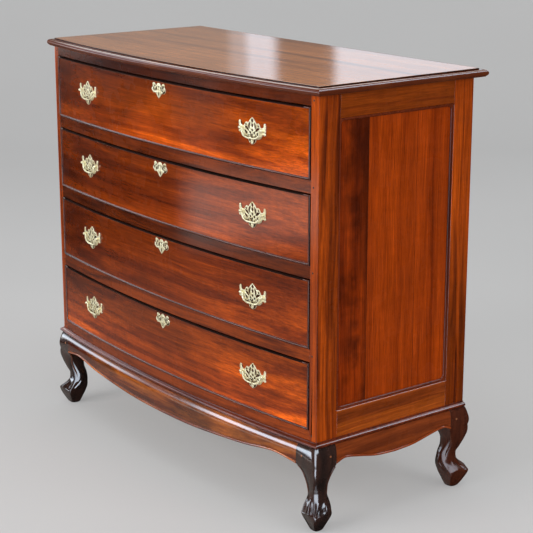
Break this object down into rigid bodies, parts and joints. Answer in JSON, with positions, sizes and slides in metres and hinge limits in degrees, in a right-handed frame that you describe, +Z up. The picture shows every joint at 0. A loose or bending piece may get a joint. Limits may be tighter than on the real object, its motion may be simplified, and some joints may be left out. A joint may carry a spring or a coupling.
{
  "type": "bow front chest of drawers",
  "caption": "Bow front chest of drawers on cabriole legs with claw feet, cockbeaded drawers, pierced brass bail pulls, escutcheons and a moulded top.",
  "frame": {"origin": "bottom centre of the bounding box, on the floor under the chest's middle", "axes": "+X along the front, towards the chest's right side; +Y from the bowed front to the back; +Z up"},
  "size_m": [1.1198, 0.5306, 1],
  "materials": {
    "top_wood": "french polished mahogany, light catching it grey",
    "case_wood": "red brown mahogany, polished, worn at the arrises",
    "drawer_wood": "dark red brown mahogany with flowing grain, polished",
    "bead_wood": "dark stained mahogany, polished",
    "base_wood": "very dark stained mahogany, polished",
    "leg_wood": "nearly black stained mahogany, polished, worn at the edges",
    "peg_wood": "orange brown, end grain",
    "inner_wood": "plain secondary timber, unpolished",
    "lining_wood": "pale drawer linings, unpolished",
    "brass": "cast and pierced brass, polished with tarnish in the hollows",
    "lock_steel": "dulled steel lock"
  },
  "bodies": {
    "carcass": {"top_board": "top_wood", "left_front_post": "case_wood", "right_front_post": "case_wood", "left_back_post": "case_wood", "right_back_post": "case_wood", "front_rails": "case_wood", "side_rails": "case_wood", "side_panels": "case_wood", "back_boards": "inner_wood", "drawer_runners": "inner_wood", "drawer_stops": "inner_wood", "base_bead": "bead_wood", "front_apron": "base_wood", "side_aprons": "base_wood", "back_apron": "case_wood", "front_legs": "leg_wood", "back_legs": "leg_wood", "corner_blocks": "inner_wood", "pegs": "peg_wood"},
    "drawer_1": {"drawer_1_front": "drawer_wood", "drawer_1_cockbead": "bead_wood", "drawer_1_box": "lining_wood", "drawer_1_bottom": "lining_wood", "drawer_1_lock": "lock_steel", "drawer_1_escutcheon": "brass", "drawer_1_pull_plates": "brass"},
    "lock_bolt_1": {"drawer_1_lock_bolt": "lock_steel"},
    "left_bail_1": {"drawer_1_left_bail": "brass"},
    "right_bail_1": {"drawer_1_right_bail": "brass"},
    "drawer_2": {"drawer_2_front": "drawer_wood", "drawer_2_cockbead": "bead_wood", "drawer_2_box": "lining_wood", "drawer_2_bottom": "lining_wood", "drawer_2_lock": "lock_steel", "drawer_2_escutcheon": "brass", "drawer_2_pull_plates": "brass"},
    "lock_bolt_2": {"drawer_2_lock_bolt": "lock_steel"},
    "left_bail_2": {"drawer_2_left_bail": "brass"},
    "right_bail_2": {"drawer_2_right_bail": "brass"},
    "drawer_3": {"drawer_3_front": "drawer_wood", "drawer_3_cockbead": "bead_wood", "drawer_3_box": "lining_wood", "drawer_3_bottom": "lining_wood", "drawer_3_lock": "lock_steel", "drawer_3_escutcheon": "brass", "drawer_3_pull_plates": "brass"},
    "lock_bolt_3": {"drawer_3_lock_bolt": "lock_steel"},
    "left_bail_3": {"drawer_3_left_bail": "brass"},
    "right_bail_3": {"drawer_3_right_bail": "brass"},
    "drawer_4": {"drawer_4_front": "drawer_wood", "drawer_4_cockbead": "bead_wood", "drawer_4_box": "lining_wood", "drawer_4_bottom": "lining_wood", "drawer_4_lock": "lock_steel", "drawer_4_escutcheon": "brass", "drawer_4_pull_plates": "brass"},
    "lock_bolt_4": {"drawer_4_lock_bolt": "lock_steel"},
    "left_bail_4": {"drawer_4_left_bail": "brass"},
    "right_bail_4": {"drawer_4_right_bail": "brass"}
  },
  "joints": [
    {"name": "drawer_1_slide", "type": "slide", "parent": "carcass", "child": "drawer_1", "axis": [0, -1, 0], "range_m": [0, 0.33]},
    {"name": "lock_bolt_1_slide", "type": "slide", "parent": "drawer_1", "child": "lock_bolt_1", "axis": [0, 0, 1], "range_m": [0, 0.008]},
    {"name": "left_bail_1_hinge", "type": "hinge", "parent": "drawer_1", "child": "left_bail_1", "pos_m": [-0.34258, -0.24238, 0.88675], "axis": [-0.9964, 0.0846, 0], "range_deg": [0, 95]},
    {"name": "right_bail_1_hinge", "type": "hinge", "parent": "drawer_1", "child": "right_bail_1", "pos_m": [0.34258, -0.24238, 0.88675], "axis": [-0.9964, -0.0846, 0], "range_deg": [0, 95]},
    {"name": "drawer_2_slide", "type": "slide", "parent": "carcass", "child": "drawer_2", "axis": [0, -1, 0], "range_m": [0, 0.33]},
    {"name": "lock_bolt_2_slide", "type": "slide", "parent": "drawer_2", "child": "lock_bolt_2", "axis": [0, 0, 1], "range_m": [0, 0.008]},
    {"name": "left_bail_2_hinge", "type": "hinge", "parent": "drawer_2", "child": "left_bail_2", "pos_m": [-0.34258, -0.24238, 0.69975], "axis": [-0.9964, 0.0846, 0], "range_deg": [0, 95]},
    {"name": "right_bail_2_hinge", "type": "hinge", "parent": "drawer_2", "child": "right_bail_2", "pos_m": [0.34258, -0.24238, 0.69975], "axis": [-0.9964, -0.0846, 0], "range_deg": [0, 95]},
    {"name": "drawer_3_slide", "type": "slide", "parent": "carcass", "child": "drawer_3", "axis": [0, -1, 0], "range_m": [0, 0.33]},
    {"name": "lock_bolt_3_slide", "type": "slide", "parent": "drawer_3", "child": "lock_bolt_3", "axis": [0, 0, 1], "range_m": [0, 0.008]},
    {"name": "left_bail_3_hinge", "type": "hinge", "parent": "drawer_3", "child": "left_bail_3", "pos_m": [-0.34258, -0.24238, 0.51275], "axis": [-0.9964, 0.0846, 0], "range_deg": [0, 95]},
    {"name": "right_bail_3_hinge", "type": "hinge", "parent": "drawer_3", "child": "right_bail_3", "pos_m": [0.34258, -0.24238, 0.51275], "axis": [-0.9964, -0.0846, 0], "range_deg": [0, 95]},
    {"name": "drawer_4_slide", "type": "slide", "parent": "carcass", "child": "drawer_4", "axis": [0, -1, 0], "range_m": [0, 0.33]},
    {"name": "lock_bolt_4_slide", "type": "slide", "parent": "drawer_4", "child": "lock_bolt_4", "axis": [0, 0, 1], "range_m": [0, 0.008]},
    {"name": "left_bail_4_hinge", "type": "hinge", "parent": "drawer_4", "child": "left_bail_4", "pos_m": [-0.34258, -0.24238, 0.32575], "axis": [-0.9964, 0.0846, 0], "range_deg": [0, 95]},
    {"name": "right_bail_4_hinge", "type": "hinge", "parent": "drawer_4", "child": "right_bail_4", "pos_m": [0.34258, -0.24238, 0.32575], "axis": [-0.9964, -0.0846, 0], "range_deg": [0, 95]}
  ]
}
